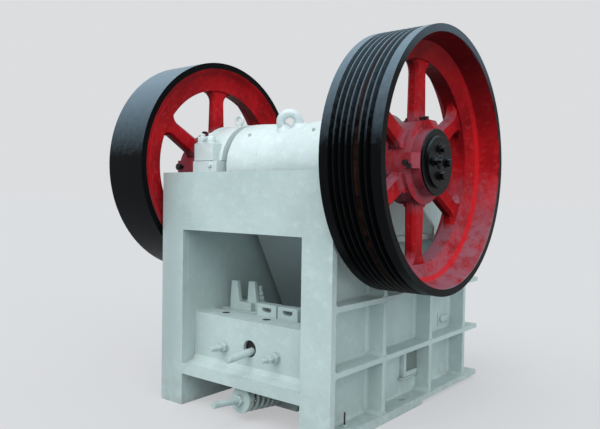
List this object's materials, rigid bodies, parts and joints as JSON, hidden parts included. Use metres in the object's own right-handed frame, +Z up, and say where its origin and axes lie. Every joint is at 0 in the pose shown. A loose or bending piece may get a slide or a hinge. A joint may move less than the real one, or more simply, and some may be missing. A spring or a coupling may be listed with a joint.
{
  "type": "jaw crusher",
  "caption": "Single-toggle stone crusher: welded ribbed frame, swing jaw on an eccentric shaft, grooved drive pulley and plain flywheel.",
  "frame": {"origin": "middle of the machine's outline, on the plane of the feet", "axes": "+X along the shaft towards the drive pulley, +Y from the discharge side to the feed side, +Z up"},
  "size_m": [1.5408, 1.524, 1.6774],
  "materials": {
    "frame_paint": "semi-gloss pale grey-green paint",
    "housing_paint": "glossier pale grey-green paint",
    "painted_fittings": "thin pale paint over steel",
    "spring_steel": "thin paint over a coil spring",
    "manganese_steel": "raw cast manganese steel",
    "shaft_steel": "machined steel",
    "wheel_paint": "glossy red paint with a black rim",
    "cap_paint": "glossy black paint"
  },
  "bodies": {
    "frame": {"rear_wall": "frame_paint", "right_side_wall": "frame_paint", "left_side_wall": "frame_paint", "right_side_flanges": "frame_paint", "left_side_flanges": "frame_paint", "right_side_ribs": "frame_paint", "left_side_ribs": "frame_paint", "front_wall": "frame_paint", "front_flanges": "frame_paint", "front_ribs": "frame_paint", "adjusting_beam": "frame_paint", "adjusting_shims": "frame_paint", "toggle_block": "frame_paint", "toggle_plate": "painted_fittings", "right_clamp_bracket": "frame_paint", "left_clamp_bracket": "frame_paint", "adjusting_screws": "painted_fittings", "centre_rod": "painted_fittings", "tension_rod": "painted_fittings", "spring_disc": "painted_fittings", "tension_spring": "spring_steel", "spring_bracket": "frame_paint", "fixed_jaw_plate": "manganese_steel", "right_cheek_plate": "manganese_steel", "left_cheek_plate": "manganese_steel", "right_bearing_base": "housing_paint", "left_bearing_base": "housing_paint", "right_bearing_cap": "housing_paint", "left_bearing_cap": "housing_paint", "cap_eyes": "housing_paint"},
    "rotor": {"eccentric_shaft": "shaft_steel", "drive_pulley": "wheel_paint", "flywheel": "wheel_paint", "pulley_end_cap": "cap_paint", "flywheel_end_cap": "cap_paint"},
    "swing_jaw": {"pitman": "housing_paint", "toggle_seat": "housing_paint", "jaw_wedge": "housing_paint", "barrel_end_rings": "housing_paint", "barrel_eyes": "housing_paint", "moving_jaw_plate": "manganese_steel"}
  },
  "joints": [
    {"name": "shaft_spin", "type": "hinge", "parent": "frame", "child": "rotor", "pos_m": [-0.00665, -0.19561, 1.1316], "axis": [1, 0, 0], "continuous": true},
    {"name": "jaw_orbit", "type": "hinge", "parent": "rotor", "child": "swing_jaw", "pos_m": [-0.00665, -0.19561, 1.1216], "axis": [1, 0, 0], "continuous": true}
  ],
  "couplings": [
    {"joint": "jaw_orbit", "follows": "shaft_spin", "ratio": -1}
  ]
}
